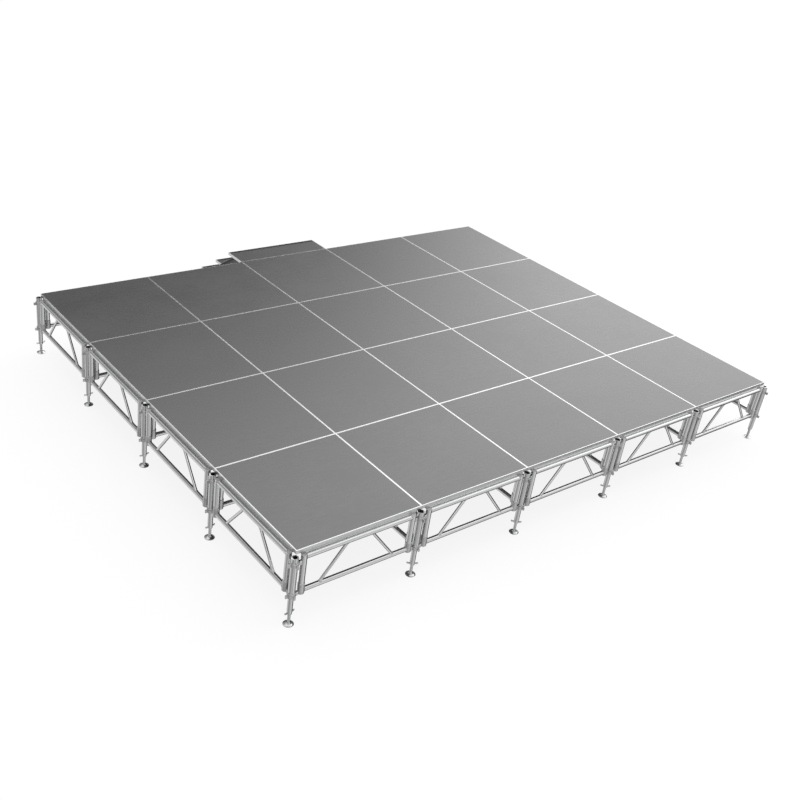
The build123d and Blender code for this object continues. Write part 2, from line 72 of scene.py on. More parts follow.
# ---- Sizes shared with the CAD parts ----
BAYS_X = 5
BAYS_Y = 4
POST_RADIUS = 0.030
END_TUBE_OFFSET = 0.084
END_TUBE_RADIUS = 0.025
TUBE_WALL = 0.0025
SLEEVE_RADIUS = 0.029
CHORD_RADIUS = 0.021
LOW_CHORD_LEVEL = 0.308
DIAGONAL_RADIUS = 0.0125
DIAGONAL_FOOT = 0.368
DIAGONAL_HEAD = 0.112
LUG_HALF_THICKNESS = 0.006
SPINDLE_RADIUS = 0.013
FOOT_RADIUS = 0.045
FOOT_HEIGHT = 0.025
WING_ANGLE = -41.0
WING_TURNS = (48.0, 0.0, -10.0, 8.0, 2.0)
PANEL_PITCH = 1.220
STAIR_STEPS = 3
TREAD_DEPTH = 0.305
STRINGER_DEPTH = 0.029      # across, from the web's inner face to the flanges' edge
STRINGER_WEB = 0.004

deck_low, deck_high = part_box("deck_edge_rails_row_1")
DECK_TOP = deck_high[2]
PANEL_BOTTOM = deck_low[2]
HIGH_CHORD_LEVEL = PANEL_BOTTOM - CHORD_RADIUS
DECK_MIN = Vector((deck_low[0], deck_low[1]))
DECK_MAX = Vector((deck_high[0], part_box("deck_edge_rails_row_4")[1][1]))

post_low, post_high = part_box("leg_posts")
LEG_X = np.linspace(post_low[0] + POST_RADIUS, post_high[0] - POST_RADIUS, BAYS_X + 1)
LEG_Y = np.linspace(post_low[1] + POST_RADIUS, post_high[1] - POST_RADIUS, BAYS_Y + 1)
LEG_PITCH = float(LEG_X[1] - LEG_X[0])
END_TUBE_SPREAD = LEG_PITCH / 2 - END_TUBE_OFFSET


# ------------------------------------------------------------------ materials
class Shader:
    """A material's node tree, with short calls for the nodes used here."""

    def __init__(self, name):
        self.material = bpy.data.materials.new(name)
        self.material.use_nodes = True
        self.nodes = self.material.node_tree.nodes
        self.links = self.material.node_tree.links
        self.surface = self.nodes["Principled BSDF"]
        self.place = self.nodes.new("ShaderNodeTexCoord").outputs["Object"]

    def set(self, **values):
        for name, value in values.items():
            self.surface.inputs[name.replace("_", " ")].default_value = value

    def link(self, output, name):
        self.links.new(output, self.surface.inputs[name])

    def scaled(self, scale):
        node = self.nodes.new("ShaderNodeMapping")
        node.inputs["Scale"].default_value = scale
        self.links.new(self.place, node.inputs["Vector"])
        return node.outputs["Vector"]

    def noise(self, scale, stretch=(1, 1, 1), detail=3.0, roughness=0.5):
        node = self.nodes.new("ShaderNodeTexNoise")
        node.inputs["Scale"].default_value = scale
        node.inputs["Detail"].default_value = detail
        node.inputs["Roughness"].default_value = roughness
        self.links.new(self.scaled(stretch), node.inputs["Vector"])
        return node.outputs["Fac"]

    def ramp(self, value, low, high, to_low, to_high):
        node = self.nodes.new("ShaderNodeMapRange")
        node.inputs["From Min"].default_value = low
        node.inputs["From Max"].default_value = high
        node.inputs["To Min"].default_value = to_low
        node.inputs["To Max"].default_value = to_high
        self.links.new(value, node.inputs["Value"])
        return node.outputs["Result"]

    def math(self, operation, first, second=None):
        node = self.nodes.new("ShaderNodeMath")
        node.operation = operation
        for socket, value in zip(node.inputs, (first, second)):
            if isinstance(value, (int, float)):
                socket.default_value = value
            elif value is not None:
                self.links.new(value, socket)
        return node.outputs["Value"]

    def blend(self, factor, low, high):
        node = self.nodes.new("ShaderNodeMix")
        node.data_type = "RGBA"
        self.links.new(factor, node.inputs["Factor"])
        for socket, value in ((node.inputs["A"], low), (node.inputs["B"], high)):
            if isinstance(value, (tuple, list)):
                socket.default_value = (*value, 1.0)
            else:
                self.links.new(value, socket)
        return node.outputs["Result"]

    def bump(self, height, strength, distance):
        node = self.nodes.new("ShaderNodeBump")
        node.inputs["Strength"].default_value = strength
        node.inputs["Distance"].default_value = distance
        self.links.new(height, node.inputs["Height"])
        self.link(node.outputs["Normal"], "Normal")


def grey(value, tint=0.0):
    """A grey, slightly cool where tint is above 0."""
    return (value * (1 - tint), value, value * (1 + tint))


def deck_board_material():
    """Phenolic-faced plywood: satin grey, a fine pressed grain, faint wear and a tone per panel."""
    s = Shader("phenolic_board")
    split = s.nodes.new("ShaderNodeSeparateXYZ")
    s.links.new(s.place, split.inputs["Vector"])
    cells = []
    for axis, start in (("X", DECK_MIN.x), ("Y", DECK_MIN.y)):
        shifted = s.math("SUBTRACT", split.outputs[axis], float(start))
        cells.append(s.math("FLOOR", s.math("DIVIDE", shifted, PANEL_PITCH)))
    cell = s.nodes.new("ShaderNodeCombineXYZ")
    s.links.new(cells[0], cell.inputs["X"])
    s.links.new(cells[1], cell.inputs["Y"])
    tone = s.nodes.new("ShaderNodeTexWhiteNoise")
    tone.noise_dimensions = "3D"
    s.links.new(cell.outputs["Vector"], tone.inputs["Vector"])
    cloud = s.noise(1.6, detail=4.0, roughness=0.6)
    grain = s.noise(260.0, detail=2.0)
    panel_share = s.ramp(tone.outputs["Value"], 0, 1, 0.0, 0.5)
    cloud_share = s.ramp(cloud, 0.3, 0.7, 0.0, 0.35)
    grain_share = s.ramp(grain, 0.35, 0.65, 0.0, 0.15)
    shade = s.math("ADD", s.math("ADD", panel_share, cloud_share), grain_share)
    s.link(s.blend(shade, grey(0.029), grey(0.043)), "Base Color")
    scuffs = s.noise(9.0, stretch=(1, 5, 1), detail=6.0, roughness=0.7)
    rough = s.math("ADD", s.ramp(scuffs, 0.35, 0.7, 0.23, 0.28), s.ramp(cloud, 0.3, 0.7, 0.0, 0.05))
    s.link(rough, "Roughness")
    s.set(IOR=1.85)
    pressed = s.nodes.new("ShaderNodeTexVoronoi")
    pressed.inputs["Scale"].default_value = 240.0
    s.links.new(s.place, pressed.inputs["Vector"])
    s.bump(pressed.outputs["Distance"], 0.05, 0.0006)
    return s.material


def aluminium_material(name, tone, roughness, lines, line_scale, bump=0.15):
    """Bare aluminium with fine draw lines. lines stretches the noise across them."""
    s = Shader(name)
    drawn = s.noise(line_scale, stretch=lines, detail=3.0, roughness=0.6)
    cloud = s.noise(5.0, detail=3.0)
    handled = s.noise(38.0, detail=4.0, roughness=0.65)
    shade = s.math("MULTIPLY", s.ramp(drawn, 0.3, 0.7, 0.4, 1.0), s.ramp(cloud, 0.3, 0.7, 0.7, 1.0))
    s.link(s.blend(shade, grey(tone * 0.86, 0.004), grey(tone, 0.004)), "Base Color")
    spread = s.math("ADD", s.ramp(drawn, 0.3, 0.7, -0.03, 0.05), s.ramp(handled, 0.45, 0.75, 0.0, 0.09))
    s.link(s.math("ADD", spread, roughness), "Roughness")
    s.set(Metallic=1.0)
    s.bump(drawn, bump, 0.0004)
    return s.material


def cast_material():
    """Fine sand-cast aluminium: duller, with a grain."""
    s = Shader("cast_aluminium")
    grain = s.noise(420.0, detail=3.0, roughness=0.6)
    cloud = s.noise(14.0, detail=4.0)
    s.link(s.blend(s.ramp(cloud, 0.3, 0.7, 0, 1), grey(0.46), grey(0.62)), "Base Color")
    s.link(s.ramp(grain, 0.3, 0.7, 0.38, 0.55), "Roughness")
    s.set(Metallic=1.0)
    s.bump(grain, 0.25, 0.0005)
    return s.material


def zinc_material():
    """Bright zinc-plated steel with faint spangle and handling marks."""
    s = Shader("zinc_plate")
    spangle = s.nodes.new("ShaderNodeTexVoronoi")
    spangle.inputs["Scale"].default_value = 130.0
    s.links.new(s.place, spangle.inputs["Vector"])
    cloud = s.noise(30.0, detail=4.0, roughness=0.6)
    crystals = s.ramp(spangle.outputs["Distance"], 0, 0.6, 1.0, 0.6)
    share = s.math("MULTIPLY", crystals, s.ramp(cloud, 0.3, 0.7, 0.6, 1.0))
    s.link(s.blend(share, grey(0.48, 0.01), grey(0.74, 0.01)), "Base Color")
    s.link(s.ramp(cloud, 0.3, 0.7, 0.16, 0.30), "Roughness")
    s.set(Metallic=1.0)
    s.bump(cloud, 0.08, 0.0004)
    return s.material


def weld_material():
    """Aluminium weld bead: pale and slightly frosted."""
    s = Shader("weld_bead")
    grain = s.noise(600.0, detail=3.0)
    s.link(s.blend(s.ramp(grain, 0.3, 0.7, 0, 1), grey(0.42), grey(0.58)), "Base Color")
    s.link(s.ramp(grain, 0.3, 0.7, 0.30, 0.46), "Roughness")
    s.set(Metallic=1.0)
    s.bump(grain, 0.2, 0.0003)
    return s.material


def moulded_material(name, tone, roughness):
    """Moulded rubber or plastic with a fine texture."""
    s = Shader(name)
    grain = s.noise(500.0, detail=2.0)
    cloud = s.noise(18.0, detail=3.0)
    s.link(s.blend(s.ramp(cloud, 0.3, 0.7, 0, 1), grey(tone), grey(tone * 1.6)), "Base Color")
    s.link(s.ramp(grain, 0.3, 0.7, roughness - 0.06, roughness + 0.06), "Roughness")
    s.bump(grain, 0.3, 0.0003)
    return s.material


def painted_material():
    """Dark satin powder coat on steel, with a faint orange peel and rubbed patches."""
    s = Shader("painted_steel")
    peel = s.noise(320.0, detail=2.0)
    rubbed = s.noise(7.0, detail=5.0, roughness=0.65)
    s.link(s.blend(s.ramp(rubbed, 0.35, 0.7, 0, 1), grey(0.035), grey(0.060)), "Base Color")
    s.link(s.ramp(rubbed, 0.35, 0.7, 0.34, 0.46), "Roughness")
    s.bump(peel, 0.08, 0.0003)
    return s.material


ALONG = (1, 1, 90)        # lines that run level
UPRIGHT = (60, 60, 1)     # lines that run up a tube
MATERIALS = {
    "board": deck_board_material(),
    "rail": aluminium_material("extruded_rail", 0.66, 0.22, ALONG, 9.0, bump=0.05),
    "truss": aluminium_material("drawn_tube", 0.70, 0.20, (2, 2, 60), 8.0),
    "post": aluminium_material("extruded_post", 0.66, 0.20, UPRIGHT, 6.0),
    "cast": cast_material(),
    "zinc": zinc_material(),
    "weld": weld_material(),
    "paint": painted_material(),
    "rubber": moulded_material("moulded_rubber", 0.022, 0.62),
    "cap": moulded_material("moulded_cap", 0.30, 0.45),
}
NODE_LOOKS = {
    "board": [f"deck_boards_row_{row}" for row in range(1, 5)] + ["stair_tread_boards"],
    "rail": [f"deck_edge_rails_row_{row}" for row in range(1, 5)]
    + ["deck_cross_rails", "stair_tread_frames"],
    "truss": [
        "front_truss_frames", "back_truss_frames", "left_truss_frames", "right_truss_frames",
        "inner_truss_frames", "deck_edge_ledges",
    ],
    "post": ["leg_posts", "inner_legs"],
    "cast": [
        "deck_corner_plates", "upper_lug_collars", "lower_lug_collars", "truss_foot_sleeves",
        "stair_hook_blocks",
    ],
    "zinc": ["leg_lock_screws"],
    "paint": ["stair_stringers", "stair_legs", "stair_cross_tubes"],
    "rubber": ["stair_feet"],
}
for look, names in NODE_LOOKS.items():
    for name in names:
        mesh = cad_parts[name].data
        mesh.materials.clear()
        mesh.materials.append(MATERIALS[look])


# ------------------------------------------------------------- mesh building
class Build:
    """Gathers points and faces of one piece."""

    def __init__(self):
        self.points = []
        self.faces = []

    def add(self, points, faces, place=None):
        start = len(self.points)
        for point in points:
            point = Vector(point)
            self.points.append(place @ point if place is not None else point)
        self.faces += [tuple(start + k for k in face) for face in faces]

    def copy(self, other, place):
        self.add(other.points, other.faces, place)

    def lathe(self, profile, segments, closed=False, place=None):
        """Turns (radius, height) points about Z. Ends of radius 0 become single points."""
        points, rows = [], []
        for radius, height in profile:
            if radius == 0:
                rows.append([len(points)])
                points.append((0, 0, height))
                continue
            rows.append(list(range(len(points), len(points) + segments)))
            for k in range(segments):
                turn = 2 * math.pi * k / segments
                points.append((radius * math.cos(turn), radius * math.sin(turn), height))
        pairs = list(zip(rows, rows[1:]))
        if closed:
            pairs.append((rows[-1], rows[0]))
        faces = []
        for lower, upper in pairs:
            for k in range(segments):
                after = (k + 1) % segments
                if len(lower) == 1:
                    faces.append((lower[0], upper[after], upper[k]))
                elif len(upper) == 1:
                    faces.append((lower[k], lower[after], upper[0]))
                else:
                    faces.append((lower[k], lower[after], upper[after], upper[k]))
        self.add(points, faces, place)

    def prism(self, outline, depth, bevel=0.0, place=None):
        """An outline in X and Z, given depth along Y, with its rim bevelled."""
        centre = Vector((sum(p[0] for p in outline), sum(p[1] for p in outline))) / len(outline)
        half = depth / 2
        layers = [(-half, bevel), (-half + bevel, 0.0), (half - bevel, 0.0), (half, bevel)]
        if not bevel:
            layers = [layers[0], layers[-1]]
        points = []
        for y, inset in layers:
            for x, z in outline:
                toward = (centre - Vector((x, z))).normalized() * inset
                points.append((x + toward.x, y, z + toward.y))
        count = len(outline)
        faces = [tuple(range(count)), tuple(reversed(range(len(points) - count, len(points))))]
        for layer in range(len(layers) - 1):
            for k in range(count):
                after = (k + 1) % count
                base = layer * count
                faces.append((base + k, base + count + k, base + count + after, base + after))
        self.add(points, faces, place)

    def piece(self, name, look, body, slot, smooth_angle=40.0):
        mesh = bpy.data.meshes.new(name)
        mesh.from_pydata(self.points, [], self.faces)
        mesh.validate()
        shell = bmesh.new()
        shell.from_mesh(mesh)
        bmesh.ops.recalc_face_normals(shell, faces=shell.faces[:])
        shell.to_mesh(mesh)
        shell.free()
        mesh.materials.append(MATERIALS[look])
        mesh.shade_smooth()
        mesh.set_sharp_from_angle(angle=math.radians(smooth_angle))
        obj = bpy.data.objects.new(name, mesh)
        bpy.context.scene.collection.objects.link(obj)
        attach(obj, body)
        return obj


def spin(x, y, degrees, z=0.0):
    """A turn about Z, then a move."""
    return Matrix.Translation((x, y, z)) @ Matrix.Rotation(math.radians(degrees), 4, "Z")


# ---------------------------------------------------------------- screw jacks
THREAD_PITCH = 0.008
THREAD_DEPTH = 0.0018
THREAD_SEGMENTS = 18
THREAD_ROWS = 4             # rows of points in one turn of thread
THREAD_TOP = 0.27           # the plain shank starts here
SHANK_BREAK = 0.003
THREAD_CLEARANCE = 0.0001   # keeps the crests just inside the CAD spindle
OVERLAP = 0.004             # thread, shank and foot run into each other by this much
JACK_TOP = float(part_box("screw_jack_1_1")[1][2])


def threaded_spindle():
    """The spindle: a round-topped thread below, a plain shank inside the leg."""
    start = FOOT_HEIGHT - OVERLAP
    rows = int((THREAD_TOP - start) / THREAD_PITCH * THREAD_ROWS)
    heights = [start + k * THREAD_PITCH / THREAD_ROWS for k in range(rows + 1)]
    points = []
    for height in heights:
        for k in range(THREAD_SEGMENTS):
            share = k / THREAD_SEGMENTS
            phase = (height / THREAD_PITCH - share) % 1.0
            depth = THREAD_DEPTH * (0.5 - 0.5 * math.cos(2 * math.pi * phase)) ** 1.5
            radius = SPINDLE_RADIUS - THREAD_CLEARANCE - depth
            turn = 2 * math.pi * share
            points.append((radius * math.cos(turn), radius * math.sin(turn), height))
    faces = []
    for row in range(rows):
        for k in range(THREAD_SEGMENTS):
            after = (k + 1) % THREAD_SEGMENTS
            base = row * THREAD_SEGMENTS
            above = base + THREAD_SEGMENTS
            faces.append((base + k, base + after, above + after, above + k))
    faces.append(tuple(reversed(range(THREAD_SEGMENTS))))
    faces.append(tuple(range(rows * THREAD_SEGMENTS, (rows + 1) * THREAD_SEGMENTS)))
    made = Build()
    made.add(points, faces)
    shank = SPINDLE_RADIUS - THREAD_DEPTH
    shank_start = THREAD_TOP - OVERLAP
    profile = [
        (0, shank_start), (shank, shank_start), (shank, JACK_TOP - SHANK_BREAK),
        (shank - SHANK_BREAK, JACK_TOP), (0, JACK_TOP),
    ]
    made.lathe(profile, THREAD_SEGMENTS)
    return made


def domed_foot():
    """The foot: a pressed dome with a rolled rim, a step and a boss."""
    rim = FOOT_RADIUS
    made = Build()
    profile = [
        (0, 0.0), (rim - 0.004, 0.0), (rim - 0.0012, 0.0008), (rim, 0.0028), (rim - 0.0006, 0.0050),
        (rim - 0.0028, 0.0062), (rim - 0.0055, 0.0066), (rim - 0.0100, 0.0088), (rim - 0.0155, 0.0125),
        (rim - 0.0205, 0.0150), (rim - 0.0245, 0.0163), (0.0192, 0.0168), (0.0186, 0.0180),
        (0.0178, 0.0236), (0.0168, 0.0248), (0.0120, FOOT_HEIGHT), (0, FOOT_HEIGHT),
    ]
    made.lathe(profile, 40)
    return made


def screw_jacks():
    """One threaded jack for each leg, on that leg's own body."""
    made = Build()
    for part in (threaded_spindle(), domed_foot()):
        made.copy(part, Matrix.Identity(4))
    for j, y in enumerate(LEG_Y, start=1):
        for i, x in enumerate(LEG_X, start=1):
            one = Build()
            one.copy(made, spin(float(x), float(y), 37.0 * (i + 2 * j)))
            obj = one.piece(f"threaded_jack_{j}_{i}", "zinc", f"jack_{j}_{i}", "zinc_steel")
            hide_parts(f"screw_jack_{j}_{i}")


# ------------------------------------------------------------------ wing nuts
def wing_nuts():
    """Cast wing nuts: a shouldered ring with two upswept wings."""
    low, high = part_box("jack_wing_nuts")
    bottom, top = float(low[2]), float(high[2])
    bore = SPINDLE_RADIUS + 0.0004
    ring = [
        (bore, bottom), (0.0175, bottom), (0.0200, bottom + 0.0025), (0.0210, bottom + 0.008),
        (0.0210, top - 0.009), (0.0196, top - 0.006), (0.0190, top - 0.0015), (0.0178, top), (bore, top),
    ]
    wing = [
        (0.0165, bottom + 0.006), (0.030, bottom + 0.0075), (0.041, bottom + 0.0090),
        (0.0470, bottom + 0.0125), (0.0498, bottom + 0.0180), (0.0490, bottom + 0.0235),
        (0.0455, bottom + 0.0262), (0.0400, bottom + 0.0258),
        (0.0320, bottom + 0.0215), (0.0245, bottom + 0.0200), (0.0165, bottom + 0.0215),
    ]
    nut = Build()
    nut.lathe(ring, 32, closed=True)
    for turn in (0, 180):
        nut.prism(wing, 0.009, 0.002, spin(0, 0, turn))
    made = Build()
    for j, y in enumerate(LEG_Y):
        for i, x in enumerate(LEG_X):
            turn = WING_ANGLE + WING_TURNS[(3 * i + 5 * j) % len(WING_TURNS)]
            made.copy(nut, spin(float(x), float(y), turn))
    obj = made.piece("cast_wing_nuts", "zinc", "stage", "zinc_steel")
    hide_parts("jack_wing_nuts")


# --------------------------------------------------------------- truss frames
BEAD_RADIUS = 0.0032
BEAD_SEGMENTS = 20
BEAD_SIDES = 5
BEAD_RIPPLES = 9


def weld_bead(made, origin, along, branch_radius, main_axis, main_radius):
    """A rippled bead where a branch tube meets the side of a main tube."""
    origin, along, main_axis = Vector(origin), Vector(along).normalized(), Vector(main_axis)
    first = along.cross(Vector((0, 1, 0))).normalized()
    second = along.cross(first)
    line = []
    for k in range(BEAD_SEGMENTS):
        turn = 2 * math.pi * k / BEAD_SEGMENTS
        side = (first * math.cos(turn) + second * math.sin(turn)) * branch_radius
        across = along - main_axis * along.dot(main_axis)
        offset = side - main_axis * side.dot(main_axis)
        a, b, c = across.dot(across), 2 * across.dot(offset), offset.dot(offset) - main_radius ** 2
        reach = (-b + math.sqrt(max(b * b - 4 * a * c, 0.0))) / (2 * a)
        line.append(origin + along * reach + side)
    points, faces = [], []
    for k, centre in enumerate(line):
        ahead = (line[(k + 1) % BEAD_SEGMENTS] - line[k - 1]).normalized()
        radial = (centre - origin).cross(ahead).normalized()
        other = ahead.cross(radial)
        size = BEAD_RADIUS * (1 + 0.14 * math.sin(BEAD_RIPPLES * 2 * math.pi * k / BEAD_SEGMENTS))
        for m in range(BEAD_SIDES):
            turn = 2 * math.pi * m / BEAD_SIDES
            points.append(centre + (radial * math.cos(turn) + other * math.sin(turn)) * size)
    for k in range(BEAD_SEGMENTS):
        for m in range(BEAD_SIDES):
            here = k * BEAD_SIDES
            following = (k + 1) % BEAD_SEGMENTS * BEAD_SIDES
            beside = (m + 1) % BEAD_SIDES
            faces.append((here + m, here + beside, following + beside, following + m))
    made.add(points, faces)


def frame_welds():
    """The beads of one frame along X, centred on its bay."""
    made = Build()
    up = (0, 0, 1)
    level = (1, 0, 0)
    for side in (-1, 1):
        end = side * END_TUBE_SPREAD
        weld_bead(made, (end, 0, HIGH_CHORD_LEVEL), (-side, 0, 0), CHORD_RADIUS, up, END_TUBE_RADIUS)
        weld_bead(made, (end, 0, LOW_CHORD_LEVEL), (-side, 0, 0), CHORD_RADIUS, up, SLEEVE_RADIUS)
        foot = Vector((side * DIAGONAL_FOOT, 0, LOW_CHORD_LEVEL))
        head = Vector((side * DIAGONAL_HEAD, 0, HIGH_CHORD_LEVEL))
        weld_bead(made, foot, head - foot, DIAGONAL_RADIUS, level, CHORD_RADIUS)
        weld_bead(made, head, foot - head, DIAGONAL_RADIUS, level, CHORD_RADIUS)
    return made


LUG_HEIGHT = 0.028
HOOK_GAP = 0.0008           # between a hook and its lug
HOOK_PLATE = 0.0045
HOOK_SKIRT = 0.003          # a hook reaches this far below its lug
RIVET_HEAD = [(0.0055, 0.0), (0.0055, 0.0012), (0.0040, 0.0026), (0, 0.0030)]


def frame_hooks():
    """Hooks from a frame's end tubes over the posts' lugs, and a cap in each tube's top."""
    hooks, caps = Build(), Build()
    levels = (      # a lug's lower end, and a hook's near and far end from the leg's axis
        (float(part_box("upper_lug_collars")[0][2]) + 0.002, 0.040, 0.0600),
        (float(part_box("lower_lug_collars")[0][2]) + 0.003, 0.038, 0.0553),
    )
    cheek = LUG_HALF_THICKNESS + HOOK_GAP
    outer = cheek + HOOK_PLATE
    for side in (-1, 1):
        axis_x = side * LEG_PITCH / 2
        for lug_low, near, far in levels:
            top = lug_low + LUG_HEIGHT + HOOK_GAP
            skirt = lug_low - HOOK_SKIRT
            outline = [
                (-outer, skirt), (-cheek, skirt), (-cheek, top), (cheek, top),
                (cheek, skirt), (outer, skirt), (outer, top + 0.002),
                (outer - 0.003, top + 0.005), (-outer + 0.003, top + 0.005), (-outer, top + 0.002),
            ]
            middle = axis_x - side * (near + far) / 2
            place = Matrix.Translation((middle, 0, 0)) @ Matrix.Rotation(math.pi / 2, 4, "Z")
            hooks.prism(outline, far - near, 0.0, place)
            for face in (-1, 1):
                tilt = Matrix.Rotation(-face * math.pi / 2, 4, "X")
                spot = Matrix.Translation((middle, face * outer, lug_low + LUG_HEIGHT / 2)) @ tilt
                hooks.lathe(RIVET_HEAD, 12, place=spot)
        inside = END_TUBE_RADIUS - TUBE_WALL
        dome = [
            (inside, PANEL_BOTTOM - 0.006), (inside, PANEL_BOTTOM - 0.0012),
            (inside - 0.002, PANEL_BOTTOM - 0.0005), (inside * 0.5, PANEL_BOTTOM - 0.0003),
            (0, PANEL_BOTTOM - 0.0003),
        ]
        caps.lathe(dome, 24, place=Matrix.Translation((side * END_TUBE_SPREAD, 0, 0)))
    return hooks, caps


def truss_details():
    """Welds, hooks and caps on all the frames."""
    bay_x = (LEG_X[1:] + LEG_X[:-1]) / 2
    bay_y = (LEG_Y[1:] + LEG_Y[:-1]) / 2
    along_x = {j: [(float(x), float(y), 0) for x in bay_x] for j, y in enumerate(LEG_Y)}
    along_y = {i: [(float(x), float(y), 90) for y in bay_y] for i, x in enumerate(LEG_X)}
    inner_x = [place for j in range(1, BAYS_Y) for place in along_x[j]]
    inner_y = [place for i in range(1, BAYS_X) for place in along_y[i]]
    groups = {
        "front": along_x[0],
        "back": along_x[BAYS_Y],
        "left": along_y[0],
        "right": along_y[BAYS_X],
        "inner": inner_x + inner_y,
    }
    welds = frame_welds()
    hooks, caps = frame_hooks()
    for group, places in groups.items():
        for part, look, slot, label in (
            (welds, "weld", "truss_aluminium", "weld_beads"),
            (hooks, "zinc", "zinc_steel", "lug_hooks"),
            (caps, "cap", "truss_aluminium", "tube_caps"),
        ):
            made = Build()
            for x, y, turn in places:
                made.copy(part, spin(x, y, turn))
            made.piece(f"{group}_{label}", look, "stage", slot)


# ---------------------------------------------------------------------- deck
RIVET_RADIUS = 0.005
RIVET_HEIGHT = 0.0016
RIVET_DROP = 0.030          # below the deck's top
RIVET_INSETS = (0.066, 0.150, PANEL_PITCH - 0.150, PANEL_PITCH - 0.066)


def rail_rivets():
    """Domed rivets on the deck's outer faces, at the ends of each panel's rail."""
    dome = [
        (RIVET_RADIUS, 0), (RIVET_RADIUS * 0.85, RIVET_HEIGHT * 0.6),
        (RIVET_RADIUS * 0.45, RIVET_HEIGHT), (0, RIVET_HEIGHT * 1.1),
    ]
    made = Build()
    level = DECK_TOP - RIVET_DROP
    for count, sides in ((BAYS_X, "x"), (BAYS_Y, "y")):
        for panel in range(count):
            for inset in RIVET_INSETS:
                along = panel * PANEL_PITCH + inset
                if sides == "x":
                    spots = [
                        ((DECK_MIN.x + along, DECK_MIN.y, level), Matrix.Rotation(math.pi / 2, 4, "X")),
                        ((DECK_MIN.x + along, DECK_MAX.y, level), Matrix.Rotation(-math.pi / 2, 4, "X")),
                    ]
                else:
                    spots = [
                        ((DECK_MIN.x, DECK_MIN.y + along, level), Matrix.Rotation(-math.pi / 2, 4, "Y")),
                        ((DECK_MAX.x, DECK_MIN.y + along, level), Matrix.Rotation(math.pi / 2, 4, "Y")),
                    ]
                for spot, turn in spots:
                    made.lathe(dome, 10, place=Matrix.Translation(spot) @ turn)
    made.piece("rail_rivets", "zinc", "stage", "zinc_steel")


# --------------------------------------------------------------------- stair
RIB_COUNT = 6
RIB_PITCH = 0.006
RIB_TOP = 0.0022            # above the tread
RIB_ROOT = 0.0008
NOSING_START = 0.044        # from a tread's back edge
NOSING_INSET = 0.018        # from the stringers' webs
TOP_NOSING_INSET = 0.012    # from the top board's ends
BOLT_DROP = 0.018           # below the tread's top
BOLT_OFFSETS = (-0.095, -0.025)     # from the tread's middle line


def stair_details():
    """Ribbed nosings on the treads and bolts through the stringers."""
    low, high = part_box("stair_tread_frames")
    board_end = float(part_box("stair_tread_boards")[1][0])
    rise = DECK_TOP / STAIR_STEPS
    going = (float(high[1] - low[1]) - TREAD_DEPTH) / (STAIR_STEPS - 1)
    web = float(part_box("stair_stringers")[1][0]) - STRINGER_DEPTH
    nosings, bolts = Build(), Build()
    washer = [(0.0105, 0), (0.0105, 0.0016), (0, 0.0016)]
    head = [(0.0085, 0.0016), (0.0085, 0.0066), (0.0072, 0.0078), (0, 0.0078)]
    for step in range(STAIR_STEPS):
        top = DECK_TOP - step * rise
        back = float(low[1]) + step * going + TREAD_DEPTH
        half = board_end - TOP_NOSING_INSET if step == 0 else web - NOSING_INSET
        strip = back - NOSING_START
        profile = [(strip, top - 0.001)]
        for rib in range(RIB_COUNT):
            start = strip + 0.002 + rib * RIB_PITCH
            profile += [
                (start, top + RIB_ROOT), (start + 0.001, top + RIB_TOP),
                (start + 0.003, top + RIB_TOP), (start + 0.004, top + RIB_ROOT),
            ]
        profile.append((strip + 0.004 + RIB_COUNT * RIB_PITCH, top - 0.001))
        nosings.prism(profile, 2 * half, 0.0, Matrix.Rotation(math.pi / 2, 4, "Z"))
        if step == 0:
            continue
        for side in (-1, 1):
            for offset in BOLT_OFFSETS:
                spot = (side * (web + STRINGER_WEB), back - TREAD_DEPTH / 2 + offset, top - BOLT_DROP)
                place = Matrix.Translation(spot) @ Matrix.Rotation(side * math.pi / 2, 4, "Y")
                bolts.lathe(washer, 20, place=place)
                bolts.lathe(head, 6, place=place)
    nosings.piece("tread_nosings", "rubber", "stair", "rubber_foot")
    bolts.piece("stringer_bolts", "zinc", "stair", "zinc_steel", smooth_angle=25.0)


screw_jacks()
wing_nuts()
truss_details()
rail_rivets()
stair_details()


# ------------------------------------------------------- floor, light, camera
FLOOR_TONE = (0.14, 0.14, 0.14, 1)
FLOOR_GLOW = 0.86           # keeps the floor near white round the object's soft shadow
SWEEP = [(0, 0), (90, 0), (105, 3), (117, 11), (124, 24), (127, 45), (127, 500)]


def floor():
    """A plain pale floor that curves up far away into a wall all round."""
    sweep = Build()
    sweep.lathe(SWEEP, 96)
    mesh = bpy.data.meshes.new("floor")
    mesh.from_pydata(sweep.points, [], sweep.faces)
    mesh.shade_smooth()
    material = bpy.data.materials.new("pale_floor")
    material.use_nodes = True
    surface = material.node_tree.nodes["Principled BSDF"]
    surface.inputs["Base Color"].default_value = FLOOR_TONE
    surface.inputs["Roughness"].default_value = 0.9
    surface.inputs["Specular IOR Level"].default_value = 0.1
    surface.inputs["Emission Color"].default_value = (1, 1, 1, 1)
    surface.inputs["Emission Strength"].default_value = FLOOR_GLOW
    mesh.materials.append(material)
    obj = bpy.data.objects.new("floor", mesh)
    bpy.context.scene.collection.objects.link(obj)
    obj.visible_diffuse = False
    obj.visible_glossy = False
    obj.visible_shadow = False


def smooth_step(nodes, links, value, low, high):
    """0 below low, 1 above high, smooth between."""
    node = nodes.new("ShaderNodeMapRange")
    node.interpolation_type = "SMOOTHSTEP"
    node.inputs["From Min"].default_value = low
    node.inputs["From Max"].default_value = high
    links.new(value, node.inputs["Value"])
    return node.outputs["Result"]


